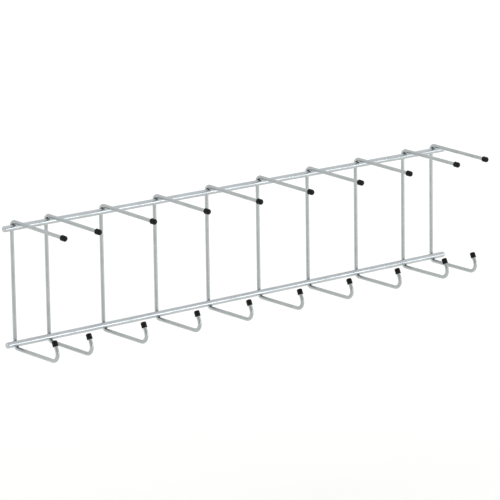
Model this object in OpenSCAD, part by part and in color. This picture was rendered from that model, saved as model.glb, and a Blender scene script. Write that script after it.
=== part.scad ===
// Hanging file rack.
// Two round steel rails carry ten identical wire forms, spot welded behind them.
// Each form is one length of wire: a straight prong that reaches forward over the
// top rail, an upright behind both rails, and an arm under the bottom rail that
// ends in an upturned hook. Files stand in the bays between the forms.
// Every free wire end is covered by a push-on cap.
//
// +X runs along the rails, -Y is the front, +Z is up.
// The origin is the middle of the top rail, on its axis.

/* [Rails] */
// Diameter of both rails
rail_d = 8; // [6:0.5:10]
// Height between the centres of the two rails
rail_spacing = 153; // [120:1:200]
// Length of each rail beyond the outer wire forms
rail_overhang = 18; // [12:1:40]
// Radius of the rounded edge around the rail ends
rail_round = 1.4; // [0.4:0.1:1.4]

/* [Bays] */
// Centre distance between neighbouring inner wire forms
bay_pitch = 90; // [60:1:120]
// Centre distance from the last inner form to the outer form
end_pitch = 55; // [40:1:90]

/* [Wire] */
// Diameter of the wire
wire_d = 5; // [3:0.25:5]
// Radius of the bends at the rails, to the centre of the wire
rail_bend_r = 6.75; // [5:0.25:7]
// Depth to which the weld sinks the wire into the rail
weld_sink = 0.35; // [0.1:0.05:0.5]
// Radius of the weld bead around the contact
weld_bead_r = 2.9; // [2.4:0.1:3]

/* [Prong] */
// Height of the prong's centre above the top rail's centre, at the bend
prong_rise = 7.2; // [7:0.1:9]
// Distance from the rail's centre forward to the middle of the prong's cap
prong_reach = 103.7; // [60:0.5:150]
// Angle at which the prong slopes down towards its tip
prong_slope = 3.1; // [0:0.1:6]

/* [Hook] */
// Depth of the arm's centre below the bottom rail's centre, at the bend
arm_drop = 7.3; // [7:0.1:9]
// Distance from the rail's centre forward to the front-most point of the hook
hook_reach = 83.9; // [50:0.5:120]
// Angle at which the arm slopes down towards the hook
arm_slope = 1.8; // [0:0.1:6]
// Radius of the hook's bend, to the centre of the wire
hook_bend_r = 10.5; // [8:0.5:16]
// Angle at which the upturned tip leans back from the vertical
tip_lean = 25; // [0:1:35]
// Height of the middle of the hook's cap above the bottom rail's centre
tip_rise = 14.1; // [12:0.5:30]

/* [Caps] */
// Outer diameter of the caps
cap_d = 7.8; // [7:0.2:9]
// Length of the caps
cap_length = 8; // [8:0.2:14]
// Thickness of the closed end of the caps
cap_end = 1.6; // [1:0.1:2.5]
// Radius of the rounded edge at the closed end
cap_round = 1.9; // [0.6:0.1:1.9]

/* [Hidden] */
$fn = 64;
inner_forms = 8;
form_count = inner_forms + 2;
rail_r = rail_d / 2;
wire_r = wire_d / 2;
cap_r = cap_d / 2;
mouth_round = 0.4;
// Growth of the wire's radius at a bend, and how far straight wire runs into it
bend_swell = 0.05;
lap = 0.4;
half_inner = (inner_forms - 1) * bay_pitch / 2;
half_length = half_inner + end_pitch + rail_overhang;

// The uprights stand behind the rails, pressed into them by the weld's sink
upright_y = rail_r + wire_r - weld_sink;
upright_top = prong_rise - rail_bend_r * cos(prong_slope);
upright_foot = -rail_spacing - arm_drop + rail_bend_r * cos(arm_slope);
upright_length = upright_top - upright_foot;

// Angles through which the wire turns at its three bends
top_turn = 90 + prong_slope;
foot_turn = 90 - arm_slope;
hook_turn = 90 + arm_slope + tip_lean;

// Length of wire inside a cap, past the cap's middle
past_middle = cap_length / 2 - cap_end;

// Prong, from the upper bend to its free end
prong_start_y = upright_y - rail_bend_r * (1 + sin(prong_slope));
prong_length = (prong_start_y + prong_reach) / cos(prong_slope) + past_middle;

// Arm, from the lower bend to the hook's bend
arm_start_y = upright_y - rail_bend_r * (1 - sin(arm_slope));
hook_centre_y = hook_bend_r - hook_reach;
arm_length = (arm_start_y - hook_centre_y) / cos(arm_slope) - hook_bend_r * tan(arm_slope);

// Upturned tip, from the hook's bend to its free end
arm_end_z = -arm_drop - arm_length * sin(arm_slope);
tip_start_z = arm_end_z + hook_bend_r * (cos(arm_slope) + sin(tip_lean));
tip_length = (tip_rise - tip_start_z) / cos(tip_lean) + past_middle;

steel = [0.76, 0.79, 0.79];
bright_steel = [0.82, 0.85, 0.86];
weld_grey = [0.62, 0.65, 0.65];
cap_black = [0.08, 0.08, 0.09];

// Place of form n along the rails, counted from the left
function form_x(n) =
    n == 1 ? -half_inner - end_pitch
    : n == form_count ? half_inner + end_pitch
    : (n - 2) * bay_pitch - half_inner;
function numbered(name, n) = str(name, n < 10 ? "_0" : "_", n);

// Straight stretch of wire between two heights
module straight(from, to) {
    translate([0, 0, from])
        rotate([0, 0, 90])
            cylinder(r = wire_r, h = to - from);
}

// Bent stretch of wire that leaves the origin upwards and curls forward.
// It is swollen a hair by the bending, and the straight wire runs into it.
module bend(radius, turn) {
    translate([0, -radius, 0])
        rotate([90, 0, 90])
            rotate_extrude(angle = turn)
                translate([radius, 0])
                    circle(r = wire_r + bend_swell);
}

// Carries its children to the far end of such a bend
module past_bend(radius, turn) {
    translate([0, -radius, 0])
        rotate([turn, 0, 0])
            translate([0, radius, 0])
                children();
}

// Carries its children to the foot of form n's upright
module at_form(n) {
    translate([form_x(n), upright_y, upright_foot])
        children();
}

module at_prong() {
    translate([0, 0, upright_length])
        past_bend(rail_bend_r, top_turn)
            children();
}

module at_arm() {
    mirror([0, 0, 1])
        past_bend(rail_bend_r, foot_turn)
            children();
}

module at_tip() {
    at_arm()
        translate([0, 0, arm_length])
            past_bend(hook_bend_r, hook_turn)
                children();
}

// The upright with the bend at each of its ends
module bent_upright() {
    straight(-lap, upright_length + lap);
    translate([0, 0, upright_length])
        bend(rail_bend_r, top_turn);
    mirror([0, 0, 1])
        bend(rail_bend_r, foot_turn);
}

// The round of both rails where form n crosses them
module rail_crossings(n) {
    for (z = [0, -rail_spacing])
        translate([form_x(n) - wire_d, 0, z])
            rotate([0, 90, 0])
                cylinder(r = rail_r, h = 2 * wire_d);
}

// One form, with the shallow seats that welding presses into its upright
module wire_form(n) {
    color(steel)
        difference() {
            at_form(n) {
                bent_upright();
                at_prong()
                    straight(-lap, prong_length);
                at_arm() {
                    straight(-lap, arm_length + lap);
                    translate([0, 0, arm_length])
                        bend(hook_bend_r, hook_turn);
                }
                at_tip()
                    straight(-lap, tip_length);
            }
            rail_crossings(n);
        }
}

// One rail at height z, a cut length of round bar with rounded edges at its ends
module rail(z) {
    round_at = half_length - rail_round;
    color(bright_steel)
        translate([0, 0, z])
            rotate([0, 90, 0])
                rotate_extrude() {
                    translate([0, -round_at])
                        square([rail_r, 2 * round_at]);
                    translate([0, -half_length])
                        square([rail_r - rail_round, 2 * half_length]);
                    for (h = [-round_at, round_at])
                        translate([rail_r - rail_round, h])
                            circle(r = rail_round);
                }
}

module top_rail() {
    rail(0);
}

module bottom_rail() {
    rail(-rail_spacing);
}

// Beads of squeezed-out metal in the corner between each upright and a rail
module welds(z) {
    color(weld_grey)
        for (n = [1 : form_count])
            difference() {
                translate([form_x(n), rail_r - weld_sink / 2, z])
                    sphere(r = weld_bead_r);
                at_form(n)
                    bent_upright();
                rail_crossings(n);
            }
}

module top_rail_welds() {
    welds(0);
}

module bottom_rail_welds() {
    welds(-rail_spacing);
}

// A cap pushed down over the end of a wire that comes up to the origin
module cap() {
    translate([0, 0, cap_end - cap_length])
        difference() {
            rotate_extrude() {
                translate([0, mouth_round])
                    square([cap_r, cap_length - mouth_round - cap_round]);
                square([cap_r - mouth_round, mouth_round]);
                translate([cap_r - mouth_round, mouth_round])
                    circle(r = mouth_round);
                square([cap_r - cap_round, cap_length]);
                translate([cap_r - cap_round, cap_length - cap_round])
                    circle(r = cap_round);
            }
            translate([0, 0, -cap_end])
                cylinder(r = wire_r, h = cap_length);
        }
}

module prong_cap(n) {
    color(cap_black)
        at_form(n)
            at_prong()
                translate([0, 0, prong_length])
                    cap();
}

module hook_cap(n) {
    color(cap_black)
        at_form(n)
            at_tip()
                translate([0, 0, tip_length])
                    cap();
}

top_rail();
bottom_rail();
top_rail_welds();
bottom_rail_welds();
for (n = [1 : form_count]) {
    wire_form(n);
    prong_cap(n);
    hook_cap(n);
}
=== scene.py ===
import math

import bmesh
import bpy
from mathutils import Matrix, Vector


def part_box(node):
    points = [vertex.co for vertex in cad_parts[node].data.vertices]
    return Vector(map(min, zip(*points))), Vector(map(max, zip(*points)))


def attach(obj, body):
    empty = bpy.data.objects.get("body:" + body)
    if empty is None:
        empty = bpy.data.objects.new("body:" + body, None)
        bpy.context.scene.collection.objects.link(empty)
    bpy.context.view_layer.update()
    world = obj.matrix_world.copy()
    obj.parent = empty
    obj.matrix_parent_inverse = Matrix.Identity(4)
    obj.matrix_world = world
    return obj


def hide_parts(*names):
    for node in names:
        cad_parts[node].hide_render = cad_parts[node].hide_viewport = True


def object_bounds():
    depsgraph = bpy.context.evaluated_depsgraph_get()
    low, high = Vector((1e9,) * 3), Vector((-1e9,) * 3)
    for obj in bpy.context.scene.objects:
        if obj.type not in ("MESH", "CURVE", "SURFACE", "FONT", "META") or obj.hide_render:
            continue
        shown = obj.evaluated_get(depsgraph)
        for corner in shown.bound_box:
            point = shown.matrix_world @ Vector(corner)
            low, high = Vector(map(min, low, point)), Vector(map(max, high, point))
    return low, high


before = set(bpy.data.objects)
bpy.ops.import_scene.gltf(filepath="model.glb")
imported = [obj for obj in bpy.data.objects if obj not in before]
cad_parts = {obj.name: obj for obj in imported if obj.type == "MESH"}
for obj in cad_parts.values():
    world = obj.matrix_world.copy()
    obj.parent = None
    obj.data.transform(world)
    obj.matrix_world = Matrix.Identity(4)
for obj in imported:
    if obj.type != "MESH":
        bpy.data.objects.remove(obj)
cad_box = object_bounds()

mm = 0.001

# ------------------------------------------------------------------ Rails
# Two lengths of cold-drawn mild steel bar carry everything else. Each is cropped to
# length and its cut edges are rounded over. They are zinc plated after the wire forms
# have been welded on, so the ends are plated as well.

rail_names = ("top_rail", "bottom_rail")
rail_round = 1.4 * mm
rail_round_steps = 8
edge_guard = 1 * mm      # keeps the shading of the round edges off the straight bar
rail_sides = 72
rail_stock_gap = 0.3     # metres of bar between the two lengths that were cut from it


def add(tree, kind, inputs=(), **settings):
    """Adds a node. Each input is given its value, or the socket that feeds it."""
    made = tree.nodes.new(kind)
    for name, value in settings.items():
        setattr(made, name, value)
    for key, value in dict(inputs).items():
        if isinstance(value, bpy.types.NodeSocket):
            tree.links.new(value, made.inputs[key])
        else:
            made.inputs[key].default_value = value
    return made


def srgb(code):
    """The linear colour, with its alpha, of an sRGB hex value."""
    parts = [int(code[i:i + 2], 16) / 255 for i in (1, 3, 5)]
    return [c / 12.92 if c <= 0.04045 else ((c + 0.055) / 1.055) ** 2.4 for c in parts] + [1]


# Where a colour Mix node keeps its two colours and its result
MIX_A, MIX_B, MIX_RESULT = 6, 7, 2


def zinc_plate(name, bright, dull, smooth, rough, seats=()):
    """Bright zinc electroplate on drawn steel. It gives a clear, light grey metal with
    soft reflections. Faint die lines run along the bar under the plating, and the
    passivating bath leaves a slow, bluish cloudiness. Seats holds the axis and radius of
    each bar it is welded against: close beside each, the colour is darkened to near black as painted
    shade in the crevice."""
    line_width = 0.7 * mm    # the real ones are nearer 0.1 mm and would not show
    line_length = 60 * mm
    cloud_size = 22 * mm
    grit_size = 0.9 * mm     # crystals of the deposit, drawn about ten times too coarse
    line_depth = 0.012 * mm
    grit_depth = 0.006 * mm
    dull_below = 0.7         # sum of the line and cloud patterns at which the plate is
    bright_above = 1.3       # fully dull, and the one at which it is fully bright
    # Painted shade: a near-black colour painted into the crevice beside each rail, full near the rail
    # and fading out further away
    painted_shade_full = 0.5 * mm  # gap beside a bar up to which the painted shade is full
    painted_shade_end = 1.7 * mm
    painted_shade_black = "#1C1B1A"
    steel = bpy.data.materials.new(name)
    steel.use_nodes = True
    tree = steel.node_tree
    tree.nodes.clear()
    place = add(tree, "ShaderNodeAttribute", attribute_name="drawn").outputs["Vector"]
    stretch = (1 / line_width, 1 / line_width, 1 / line_length)
    stretched = add(tree, "ShaderNodeVectorMath", {0: place, 1: stretch}, operation="MULTIPLY")
    lines = add(tree, "ShaderNodeTexNoise",
                {"Vector": stretched.outputs["Vector"], "Scale": 1.0, "Detail": 3.0})
    clouds = add(tree, "ShaderNodeTexNoise",
                 {"Vector": place, "Scale": 1 / cloud_size, "Detail": 2.0})
    grit = add(tree, "ShaderNodeTexNoise",
               {"Vector": place, "Scale": 1 / grit_size, "Detail": 1.0})
    both = add(tree, "ShaderNodeMath", {0: lines.outputs["Fac"], 1: clouds.outputs["Fac"]},
               operation="ADD")
    share = add(tree, "ShaderNodeMapRange",
                {"Value": both.outputs["Value"], "From Min": dull_below,
                 "From Max": bright_above})
    colour = add(tree, "ShaderNodeMix",
                 {"Factor": share.outputs["Result"], MIX_A: srgb(dull), MIX_B: srgb(bright)},
                 data_type="RGBA")
    shade = colour.outputs[MIX_RESULT]
    # Painted shade: close beside each rail the colour is mixed towards near black, standing in for
    # the shadow in the crevice between wire and rail
    for axis, radius in seats:
        spot = add(tree, "ShaderNodeTexCoord").outputs["Object"]
        level = add(tree, "ShaderNodeVectorMath", {0: spot, 1: (0, 1, 1)}, operation="MULTIPLY")
        away = add(tree, "ShaderNodeVectorMath",
                   {0: level.outputs["Vector"], 1: (0, axis.y, axis.z)}, operation="DISTANCE")
        painted_shade = add(tree, "ShaderNodeMapRange",
                      {"Value": away.outputs["Value"], "From Min": radius + painted_shade_full,
                       "From Max": radius + painted_shade_end, "To Min": 1.0, "To Max": 0.0})
        painted_shaded = add(tree, "ShaderNodeMix",
                      {"Factor": painted_shade.outputs["Result"], MIX_A: shade,
                       MIX_B: srgb(painted_shade_black)},
                      data_type="RGBA")
        shade = painted_shaded.outputs[MIX_RESULT]
    roughness = add(tree, "ShaderNodeMapRange",
                    {"Value": share.outputs["Result"], "To Min": rough, "To Max": smooth})
    ridges = add(tree, "ShaderNodeBump",
                 {"Height": lines.outputs["Fac"], "Distance": line_depth, "Strength": 1.0})
    grain = add(tree, "ShaderNodeBump",
                {"Height": grit.outputs["Fac"], "Distance": grit_depth, "Strength": 1.0,
                 "Normal": ridges.outputs["Normal"]})
    surface = add(tree, "ShaderNodeBsdfPrincipled",
                  {"Base Color": shade, "Metallic": 1.0,
                   "Roughness": roughness.outputs["Result"], "Normal": grain.outputs["Normal"]})
    add(tree, "ShaderNodeOutputMaterial", {"Surface": surface.outputs["BSDF"]})
    return steel


def turned(name, outline, sides, place, cut_from=0.0, sharp=()):
    """A closed round piece. Its outline is pairs of radius and height that start and end
    on the axis; place puts the axis where it belongs. The attribute drawn keeps where
    each point lies in the stock, which is measured from cut_from."""
    shape = bmesh.new()
    stock = shape.verts.layers.float_vector.new("drawn")
    rings = []
    for radius, height in outline:
        count = sides if radius > 0 else 1
        ring = []
        for i in range(count):
            turn = 2 * math.pi * i / sides
            spot = Vector((radius * math.cos(turn), radius * math.sin(turn), height))
            vert = shape.verts.new(place @ spot)
            vert[stock] = spot + Vector((0, 0, cut_from))
            ring.append(vert)
        rings.append(ring)
    for lower, upper in zip(rings, rings[1:]):
        for i in range(sides):
            j = (i + 1) % sides
            around = [lower[i % len(lower)], lower[j % len(lower)],
                      upper[j % len(upper)], upper[i % len(upper)]]
            face = shape.faces.new(list(dict.fromkeys(around)))
            face.smooth = True
    for k in sharp:
        for i, vert in enumerate(rings[k]):
            edge = shape.edges.get((vert, rings[k][(i + 1) % sides]))
            edge.smooth = False
    bmesh.ops.recalc_face_normals(shape, faces=shape.faces)
    mesh = bpy.data.meshes.new(name)
    shape.to_mesh(mesh)
    shape.free()
    piece = bpy.data.objects.new(name, mesh)
    bpy.context.scene.collection.objects.link(piece)
    return piece


def quarter(centre_r, centre_h, radius, start, end, steps):
    """Points on an arc of the outline, from one angle to another, measured from the radius."""
    arc = []
    for i in range(steps + 1):
        angle = start + (end - start) * i / steps
        arc.append((centre_r + radius * math.cos(angle), centre_h + radius * math.sin(angle)))
    return arc


def fit(piece, node):
    """The finished piece stands for its CAD node: it is attached to the root body and the CAD node is
    hidden.
    """
    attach(piece, "root")
    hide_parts(node)


rail_steel = zinc_plate("bright zinc plate on drawn bar", "#C3C8CC", "#B6BCBF",
                        smooth=0.18, rough=0.33)
rail_axis = {}
for number, node in enumerate(rail_names):
    low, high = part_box(node)
    middle = (low + high) / 2
    radius = (high.z - low.z) / 2
    half = (high.x - low.x) / 2
    rail_axis[node] = middle
    along_x = Matrix.Translation(middle) @ Matrix.Rotation(math.pi / 2, 4, "Y")
    near = quarter(radius - rail_round, rail_round - half, rail_round,
                   -math.pi / 2, 0, rail_round_steps)
    far = quarter(radius - rail_round, half - rail_round, rail_round,
                  0, math.pi / 2, rail_round_steps)
    straight = half - rail_round - edge_guard
    outline = [(0, -half)] + near + [(radius, -straight), (radius, straight)] + far + [(0, half)]
    rail = turned(node + "_bar", outline, rail_sides, along_x,
                  cut_from=number * (2 * half + rail_stock_gap))
    rail.data.materials.append(rail_steel)
    fit(rail, node)
rail_r = radius

# ------------------------------------------------------------- Wire forms
# Ten identical lengths of drawn steel wire, straightened from the coil, cut and bent
# on one jig in a vertical plane: a prong over the top rail, an upright behind both
# rails and an arm under the bottom rail that turns up into a hook.

form_count = 10
wire_r = 5 * mm / 2
weld_sink = 0.35 * mm
rail_bend_r = 6.75 * mm
hook_bend_r = 10.5 * mm
prong_rise = 7.2 * mm
prong_reach = 103.7 * mm
prong_slope = math.radians(3.1)
arm_drop = 7.3 * mm
hook_reach = 83.9 * mm
arm_slope = math.radians(1.8)
tip_lean = math.radians(25)
tip_rise = 14.1 * mm
past_middle = 2.4 * mm       # wire that runs on past the middle of a cap
bend_swell = 0.02            # share by which bending thickens the wire
bend_step = math.radians(4)
wire_sides = 48
blank_length = 0.45          # metres of coil that one form takes, with its cut


def drawn_wire():
    """The tree that makes round wire along a path of joined points. The attribute swell
    on the path scales the wire, and the attribute drawn keeps where each point of its
    surface lies in the coil."""
    tree = bpy.data.node_groups.new("drawn wire", "GeometryNodeTree")
    face = tree.interface
    for name, kind in (("Path", "Geometry"), ("Radius", "Float"), ("Sides", "Int"),
                       ("Cut From", "Float"), ("Steel", "Material")):
        face.new_socket(name, in_out="INPUT", socket_type="NodeSocket" + kind)
    face.new_socket("Wire", in_out="OUTPUT", socket_type="NodeSocketGeometry")
    given = add(tree, "NodeGroupInput").outputs
    line = add(tree, "GeometryNodeMeshToCurve", {"Mesh": given["Path"]})
    run = add(tree, "GeometryNodeCaptureAttribute", {"Geometry": line.outputs["Curve"]})
    run.capture_items.new("FLOAT", "Run")
    length = add(tree, "GeometryNodeSplineParameter")
    tree.links.new(length.outputs["Length"], run.inputs["Run"])
    circle = add(tree, "GeometryNodeCurvePrimitiveCircle",
                 {"Resolution": given["Sides"], "Radius": given["Radius"]})
    section = add(tree, "GeometryNodeCaptureAttribute", {"Geometry": circle.outputs["Curve"]})
    section.capture_items.new("VECTOR", "Across")
    tree.links.new(add(tree, "GeometryNodeInputPosition").outputs["Position"],
                   section.inputs["Across"])
    swell = add(tree, "GeometryNodeInputNamedAttribute", {"Name": "swell"}, data_type="FLOAT")
    tube = add(tree, "GeometryNodeCurveToMesh",
               {"Curve": run.outputs["Geometry"], "Profile Curve": section.outputs["Geometry"],
                "Scale": swell.outputs["Attribute"], "Fill Caps": True})
    reached = add(tree, "ShaderNodeMath", {0: run.outputs["Run"], 1: given["Cut From"]},
                  operation="ADD")
    across = add(tree, "ShaderNodeSeparateXYZ", {"Vector": section.outputs["Across"]})
    drawn = add(tree, "ShaderNodeCombineXYZ",
                {"X": across.outputs["X"], "Y": across.outputs["Y"],
                 "Z": reached.outputs["Value"]})
    kept = add(tree, "GeometryNodeStoreNamedAttribute",
               {"Geometry": tube.outputs["Mesh"], "Name": "drawn",
                "Value": drawn.outputs["Vector"]},
               data_type="FLOAT_VECTOR", domain="POINT")
    smooth = add(tree, "GeometryNodeSetShadeSmooth", {"Geometry": kept.outputs["Geometry"]})
    real = add(tree, "GeometryNodeRealizeInstances", {"Geometry": smooth.outputs["Geometry"]})
    plated = add(tree, "GeometryNodeSetMaterial",
                 {"Geometry": real.outputs["Geometry"], "Material": given["Steel"]})
    add(tree, "NodeGroupOutput", {"Wire": plated.outputs["Geometry"]})
    return tree


def grown(name, tree, base, inputs):
    """The plain mesh that a tree makes of a base mesh, as an object of its own."""
    start = bpy.data.objects.new(name + ".base", base)
    bpy.context.scene.collection.objects.link(start)
    modifier = start.modifiers.new("made", "NODES")
    modifier.node_group = tree
    for item in tree.interface.items_tree:
        if item.item_type == "SOCKET" and item.in_out == "INPUT" and item.name in inputs:
            modifier[item.identifier] = inputs[item.name]
    evaluated = start.evaluated_get(bpy.context.evaluated_depsgraph_get())
    mesh = bpy.data.meshes.new_from_object(evaluated)
    mesh.name = name
    start.modifiers.remove(modifier)
    bpy.data.objects.remove(start)
    piece = bpy.data.objects.new(name, mesh)
    bpy.context.scene.collection.objects.link(piece)
    return piece


def facing(heading):
    """The direction of wire in the plane of a form: 0 is up, a quarter turn is forward."""
    return Vector((0, -math.sin(heading), math.cos(heading)))


def follow(start, heading, steps):
    """Points along bent wire, each with how much the wire is swollen there. Each step is
    a length of straight wire, and the radius and turn of the bend that ends it."""
    points = [(start.copy(), 1.0)]
    spot = start.copy()
    for straight, radius, turn in steps:
        spot = spot + straight * facing(heading)
        points.append((spot.copy(), 1.0))
        if not turn:
            continue
        side = math.copysign(math.pi / 2, turn)
        centre = spot + radius * facing(heading + side)
        count = math.ceil(abs(turn) / bend_step)
        for i in range(1, count + 1):
            share = i / count
            spot = centre - radius * facing(heading + side + share * turn)
            points.append((spot.copy(), 1 + bend_swell * math.sin(math.pi * share)))
        heading += turn
    return points, heading


# Sizes of the form that follow from the ones above
upright_y = rail_r + wire_r - weld_sink
rail_gap = rail_axis["top_rail"].z - rail_axis["bottom_rail"].z
upright_top = prong_rise - rail_bend_r * math.cos(prong_slope)
upright_foot = -rail_gap - arm_drop + rail_bend_r * math.cos(arm_slope)
prong_start = upright_y - rail_bend_r * (1 + math.sin(prong_slope))
prong_length = (prong_start + prong_reach) / math.cos(prong_slope) + past_middle
arm_start = upright_y - rail_bend_r * (1 - math.sin(arm_slope))
arm_length = ((arm_start - hook_bend_r + hook_reach) / math.cos(arm_slope)
              - hook_bend_r * math.tan(arm_slope))
arm_end_z = -arm_drop - arm_length * math.sin(arm_slope)
tip_start_z = arm_end_z + hook_bend_r * (math.cos(arm_slope) + math.sin(tip_lean))
tip_length = (tip_rise - tip_start_z) / math.cos(tip_lean) + past_middle

# The seats paint shade into the wire's colour close beside both rails
wire_steel = zinc_plate("bright zinc plate on drawn wire", "#BABFC0", "#ACB1B2",
                        smooth=0.20, rough=0.37,
                        seats=[(axis, rail_r) for axis in rail_axis.values()])
wire_tree = drawn_wire()
wire_ends = {}
for number in range(1, form_count + 1):
    node = f"wire_form_{number:02d}"
    low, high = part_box(node)
    foot = Vector(((low.x + high.x) / 2, upright_y, upright_foot))
    upper, prong_heading = follow(
        foot, 0.0,
        [(upright_top - upright_foot, rail_bend_r, math.pi / 2 + prong_slope),
         (prong_length, 0, 0)])
    lower, tip_heading = follow(
        foot, math.pi,
        [(0, rail_bend_r, arm_slope - math.pi / 2),
         (arm_length, hook_bend_r, -(math.pi / 2 + arm_slope + tip_lean)),
         (tip_length, 0, 0)])
    wire_ends[number] = ((upper[-1][0], prong_heading), (lower[-1][0], tip_heading))
    path = upper[::-1] + lower[2:]      # both start at the foot, and the lower one twice
    base = bpy.data.meshes.new(node + ".path")
    base.from_pydata([point for point, _ in path], [(i, i + 1) for i in range(len(path) - 1)], [])
    swell = base.attributes.new("swell", "FLOAT", "POINT")
    swell.data.foreach_set("value", [scale for _, scale in path])
    wire = grown(node + "_wire", wire_tree, base,
                 {"Radius": wire_r, "Sides": wire_sides, "Cut From": number * blank_length,
                  "Steel": wire_steel})
    fit(wire, node)

# ------------------------------------------------------------- Weld beads
# Each upright is resistance welded to the back of both rails. The two round bars sink
# into each other under the electrodes, and a little metal is squeezed out into the
# corner around the contact. It is plated with the rest but stays duller and rougher.

bead_half_width = 2.8 * mm       # along the rail, where the bead meets it
grip_half_width = 2.3 * mm       # the same, where it meets the wire
bead_half_height = 2.4 * mm      # along the upright
bead_bite = 0.2 * mm             # depth to which it runs into both
bead_pinch = 0.08                # share by which its waist is drawn in
bead_sides = 32
bead_rings = 7
smallest_bead = 0.9              # size of the smallest bead as a share of the pattern
bead_seed = 3


def bead_mesh():
    """One bead, seen from the rail's axis: it fills the gap between rail and wire and is
    drawn in at its waist."""
    shape = bmesh.new()
    rings = []
    for k in range(bead_rings):
        share = k / (bead_rings - 1)
        waist = 1 - bead_pinch * math.sin(math.pi * share)
        half_width = bead_half_width + share * (grip_half_width - bead_half_width)
        ring = []
        for i in range(bead_sides):
            turn = 2 * math.pi * i / bead_sides
            x = half_width * waist * math.cos(turn)
            z = bead_half_height * waist * math.sin(turn)
            on_rail = math.sqrt(rail_r ** 2 - z ** 2) - bead_bite
            held = min(abs(x), grip_half_width)
            on_wire = upright_y - math.sqrt(wire_r ** 2 - held ** 2) + bead_bite
            ring.append(shape.verts.new((x, on_rail + share * (on_wire - on_rail), z)))
        rings.append(ring)
    in_rail = shape.verts.new((0, rail_r - bead_bite, 0))
    in_wire = shape.verts.new((0, upright_y - wire_r + bead_bite, 0))
    for i in range(bead_sides):
        j = (i + 1) % bead_sides
        shape.faces.new((in_rail, rings[0][j], rings[0][i]))
        shape.faces.new((in_wire, rings[-1][i], rings[-1][j]))
        for lower, upper in zip(rings, rings[1:]):
            shape.faces.new((lower[i], lower[j], upper[j], upper[i]))
    for bead_face in shape.faces:
        bead_face.smooth = True
    bmesh.ops.recalc_face_normals(shape, faces=shape.faces)
    mesh = bpy.data.meshes.new("weld bead")
    shape.to_mesh(mesh)
    shape.free()
    return mesh


# Where a Random Value node keeps the limits of a number and its result
LEAST, MOST, NUMBER = 2, 3, 1


def beads_on_points():
    """The tree that sets one bead on each point of the base mesh, each a little narrower
    and lower than the pattern by a share of its own."""
    tree = bpy.data.node_groups.new("weld beads", "GeometryNodeTree")
    face = tree.interface
    for name, kind in (("Crossings", "Geometry"), ("Bead", "Object"), ("Smallest", "Float"),
                       ("Seed", "Int"), ("Weld", "Material")):
        face.new_socket(name, in_out="INPUT", socket_type="NodeSocket" + kind)
    face.new_socket("Beads", in_out="OUTPUT", socket_type="NodeSocketGeometry")
    given = add(tree, "NodeGroupInput").outputs
    pattern = add(tree, "GeometryNodeObjectInfo", {"Object": given["Bead"]})
    size = add(tree, "FunctionNodeRandomValue",
               {LEAST: given["Smallest"], MOST: 1.0, "Seed": given["Seed"]}, data_type="FLOAT")
    spread = add(tree, "ShaderNodeCombineXYZ",
                 {"X": size.outputs[NUMBER], "Y": 1.0, "Z": size.outputs[NUMBER]})
    placed = add(tree, "GeometryNodeInstanceOnPoints",
                 {"Points": given["Crossings"], "Instance": pattern.outputs["Geometry"],
                  "Scale": spread.outputs["Vector"]})
    real = add(tree, "GeometryNodeRealizeInstances", {"Geometry": placed.outputs["Instances"]})
    dulled = add(tree, "GeometryNodeSetMaterial",
                 {"Geometry": real.outputs["Geometry"], "Material": given["Weld"]})
    add(tree, "NodeGroupOutput", {"Beads": dulled.outputs["Geometry"]})
    return tree


def plated_weld(name):
    """Squeezed-out weld metal under zinc. It gives a duller, mottled grey with a fine,
    uneven skin and no clear reflections."""
    mottle_size = 0.8 * mm
    skin_size = 0.35 * mm
    skin_depth = 0.03 * mm
    dark = "#8E9293"
    pale = "#B4B9BA"
    roughest = 0.55
    smoothest = 0.4
    weld = bpy.data.materials.new(name)
    weld.use_nodes = True
    tree = weld.node_tree
    tree.nodes.clear()
    place = add(tree, "ShaderNodeTexCoord").outputs["Object"]
    mottle = add(tree, "ShaderNodeTexNoise",
                 {"Vector": place, "Scale": 1 / mottle_size, "Detail": 3.0})
    skin = add(tree, "ShaderNodeTexNoise",
               {"Vector": place, "Scale": 1 / skin_size, "Detail": 2.0})
    colour = add(tree, "ShaderNodeMix",
                 {"Factor": mottle.outputs["Fac"], MIX_A: srgb(dark), MIX_B: srgb(pale)},
                 data_type="RGBA")
    roughness = add(tree, "ShaderNodeMapRange",
                    {"Value": mottle.outputs["Fac"], "To Min": roughest, "To Max": smoothest})
    bumps = add(tree, "ShaderNodeBump", {"Height": skin.outputs["Fac"], "Distance": skin_depth})
    surface = add(tree, "ShaderNodeBsdfPrincipled",
                  {"Base Color": colour.outputs[MIX_RESULT], "Metallic": 1.0,
                   "Roughness": roughness.outputs["Result"], "Normal": bumps.outputs["Normal"]})
    add(tree, "ShaderNodeOutputMaterial", {"Surface": surface.outputs["BSDF"]})
    return weld


weld_metal = plated_weld("zinc plated resistance weld")
bead_pattern = bpy.data.objects.new("bead pattern", bead_mesh())
bpy.context.scene.collection.objects.link(bead_pattern)
bead_tree = beads_on_points()
for number, rail_name in enumerate(rail_names):
    node = rail_name + "_welds"
    crossings = bpy.data.meshes.new(node + ".crossings")
    axis = rail_axis[rail_name]
    crossings.from_pydata(
        [(prong_tip.x, axis.y, axis.z) for (prong_tip, _), _ in wire_ends.values()], [], [])
    beads = grown(rail_name + "_weld_beads", bead_tree, crossings,
                  {"Bead": bead_pattern, "Smallest": smallest_bead, "Seed": bead_seed + number,
                   "Weld": weld_metal})
    fit(beads, node)
bpy.data.objects.remove(bead_pattern)

# ------------------------------------------------------------------- Caps
# A black vinyl cap is pushed over every free wire end, so that the wire marks neither
# files nor hands. It is dip moulded in one piece, with a rounded, closed end and a bead
# around its mouth, and it grips the wire by its own stretch.

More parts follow.
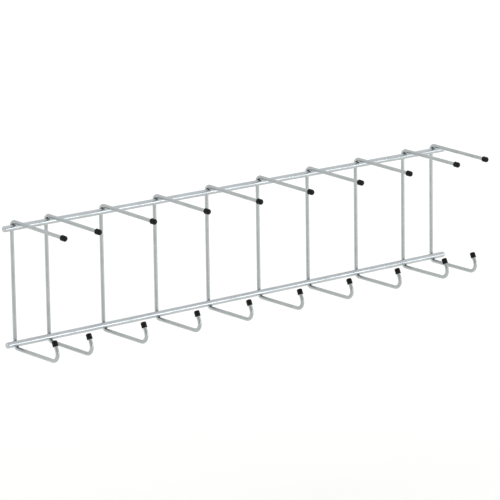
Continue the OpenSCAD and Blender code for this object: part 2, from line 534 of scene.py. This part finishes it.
cap_r = 7.8 * mm / 2
cap_length = 8 * mm
cap_end = 1.6 * mm
cap_round = 1.9 * mm
cap_crown = 0.12 * mm       # how far the closed end is domed
mouth_round = 0.4 * mm
mouth_lip = 1.1 * mm        # length of the lip around the mouth
lip_step = 0.12 * mm        # how far the body is drawn in behind the lip
cap_sides = 56
round_steps = 12
mouth_steps = 4
bore_steps = 3


def dipped_vinyl(name):
    """Black PVC plastisol, dip moulded and a little matt. It gives a near-black body with
    one soft, wide highlight, broken up by a fine eggshell skin."""
    skin_size = 0.6 * mm        # the real skin is finer and would not show
    skin_depth = 0.02 * mm
    cloud_size = 5 * mm
    black = "#08080A"
    worn_black = "#121214"
    smoothest = 0.36
    roughest = 0.5
    vinyl = bpy.data.materials.new(name)
    vinyl.use_nodes = True
    tree = vinyl.node_tree
    tree.nodes.clear()
    place = add(tree, "ShaderNodeTexCoord").outputs["Object"]
    clouds = add(tree, "ShaderNodeTexNoise",
                 {"Vector": place, "Scale": 1 / cloud_size, "Detail": 3.0})
    skin = add(tree, "ShaderNodeTexNoise",
               {"Vector": place, "Scale": 1 / skin_size, "Detail": 2.0})
    colour = add(tree, "ShaderNodeMix",
                 {"Factor": clouds.outputs["Fac"], MIX_A: srgb(black), MIX_B: srgb(worn_black)},
                 data_type="RGBA")
    roughness = add(tree, "ShaderNodeMapRange",
                    {"Value": clouds.outputs["Fac"], "To Min": smoothest, "To Max": roughest})
    bumps = add(tree, "ShaderNodeBump", {"Height": skin.outputs["Fac"], "Distance": skin_depth})
    surface = add(tree, "ShaderNodeBsdfPrincipled",
                  {"Base Color": colour.outputs[MIX_RESULT], "Roughness": roughness.outputs["Result"],
                   "IOR": 1.5, "Specular IOR Level": 0.15, "Normal": bumps.outputs["Normal"]})
    add(tree, "ShaderNodeOutputMaterial", {"Surface": surface.outputs["BSDF"]})
    return vinyl


# The outline starts at the end of the wire, runs down the bore, around the mouth and up
# the outside to the middle of the closed end
mouth = cap_end - cap_length
body_r = cap_r - lip_step
cap_outline = [(0, 0), (wire_r, 0), (wire_r, mouth + mouth_round)]
cap_outline += quarter(wire_r + mouth_round, mouth + mouth_round, mouth_round,
                       math.pi, 1.5 * math.pi, bore_steps)[1:]
cap_outline += quarter(cap_r - mouth_round, mouth + mouth_round, mouth_round,
                       -math.pi / 2, 0, mouth_steps)
cap_outline += [(cap_r, mouth + mouth_lip - lip_step), (cap_r - lip_step / 3, mouth + mouth_lip),
                (body_r, mouth + mouth_lip + lip_step), (body_r, cap_end - cap_round - cap_crown)]
cap_outline += quarter(body_r - cap_round, cap_end - cap_round - cap_crown, cap_round,
                       0, math.pi / 2, round_steps)[1:]
cap_outline += [((body_r - cap_round) / 2, cap_end - cap_crown / 4), (0, cap_end)]

cap_vinyl = dipped_vinyl("dip moulded black vinyl")
for number, ends in wire_ends.items():
    for kind, (tip, heading) in zip(("prong_cap", "hook_cap"), ends):
        node = f"{kind}_{number:02d}"
        onto_tip = Matrix.Translation(tip) @ Matrix.Rotation(heading, 4, "X")
        cap = turned(node + "_vinyl", cap_outline, cap_sides, onto_tip, sharp=(1, 2))
        cap.data.materials.append(cap_vinyl)
        fit(cap, node)

# ----------------------------------------------------------------- Studio
# A plain pale floor lies well below the rack, which hangs in front of it. White walls
# and large soft panels light it, the camera's side of the room is left dimmer, and
# the camera looks down a little from the left.

floor_drop = 0.26           # metres from the lowest wire to the floor
floor_half = 16.0           # metres from its middle to each edge


def matt_floor(name):
    """Off-white emulsion rolled on a studio floor: even, matt and without gloss."""
    paint = bpy.data.materials.new(name)
    paint.use_nodes = True
    tree = paint.node_tree
    tree.nodes.clear()
    surface = add(tree, "ShaderNodeBsdfPrincipled",
                  {"Base Color": srgb("#F6F6F4"), "Roughness": 0.9, "Specular IOR Level": 0.0})
    add(tree, "ShaderNodeOutputMaterial", {"Surface": surface.outputs["BSDF"]})
    return paint


floor_z = cad_box[0].z - floor_drop
corners = [(-floor_half, -floor_half, floor_z), (floor_half, -floor_half, floor_z),
           (floor_half, floor_half, floor_z), (-floor_half, floor_half, floor_z)]
floor_mesh = bpy.data.meshes.new("floor")
floor_mesh.from_pydata(corners, [], [(0, 1, 2, 3)])
floor_mesh.materials.append(matt_floor("rolled matt emulsion"))
floor = bpy.data.objects.new("floor", floor_mesh)
bpy.context.scene.collection.objects.link(floor)

# Brightness of the white walls, and of the dimmer side of the room behind the camera
wall_light = 0.95
dim_side_light = 0.486
dim_side = (-0.65, -0.76, 0.0)
dim_edge = 0.355            # cosine of the angle from its middle at which the dimness ends

world = bpy.data.worlds.new("studio walls")
world.use_nodes = True
room = world.node_tree
room.nodes.clear()
outwards = add(room, "ShaderNodeTexCoord").outputs["Generated"]
towards = add(room, "ShaderNodeVectorMath", {0: outwards, 1: dim_side}, operation="DOT_PRODUCT")
level = add(room, "ShaderNodeMapRange",
            {"Value": towards.outputs["Value"], "From Min": dim_edge, "From Max": 1.0,
             "To Min": wall_light, "To Max": dim_side_light})
walls = add(room, "ShaderNodeBackground",
            {"Strength": level.outputs["Result"], "Color": srgb("#FFFFFF")})
add(room, "ShaderNodeOutputWorld", {"Surface": walls.outputs["Background"]})
bpy.context.scene.world = world


def soft_panel(name, place, target, width, height, power, in_metal=True):
    """A large, even light panel that faces a point, with sizes in metres and power in
    watts. The floor's own panel is kept out of the metal's reflections."""
    data = bpy.data.lights.new(name, "AREA")
    data.shape = "RECTANGLE"
    data.size = width
    data.size_y = height
    data.energy = power
    lamp = bpy.data.objects.new(name, data)
    lamp.location = place
    aim = Vector(target) - Vector(place)
    lamp.rotation_euler = aim.to_track_quat("-Z", "Y").to_euler()
    lamp.visible_glossy = in_metal
    lamp.visible_camera = False
    bpy.context.scene.collection.objects.link(lamp)


rack_middle = (0, 0, -0.1)
soft_panel("floor panel", place=(2.2, 2.4, 3.4), target=(1.8, 1.9, 0),
           width=6.0, height=6.0, power=77.5, in_metal=False)
soft_panel("right panel", place=(1.7, -2.6, 0.05), target=rack_middle,
           width=1.74, height=0.9, power=12.6)
soft_panel("left panel", place=(-3.6, 0.9, 0.5), target=rack_middle,
           width=1.6, height=1.6, power=7.0)

view = bpy.context.scene.view_settings
view.view_transform = "Standard"
view.look = "None"

camera_place = Vector((-2.8849, -3.4162, 0.9031))
camera_turn = math.radians(-40.4235)      # about the vertical, from looking along +Y
camera_pitch = math.radians(12.4885)      # downwards
camera_roll = math.radians(-0.827)
lens = bpy.data.cameras.new("camera")
lens.sensor_width = 36.0
lens.lens = 243.6
camera = bpy.data.objects.new("camera", lens)
upwards = Matrix.Rotation(math.pi / 2 - camera_pitch, 3, "X")
facing_rack = Matrix.Rotation(camera_turn, 3, "Z") @ upwards @ Matrix.Rotation(camera_roll, 3, "Z")
camera.matrix_world = Matrix.Translation(camera_place) @ facing_rack.to_4x4()
bpy.context.scene.collection.objects.link(camera)
bpy.context.scene.camera = camera
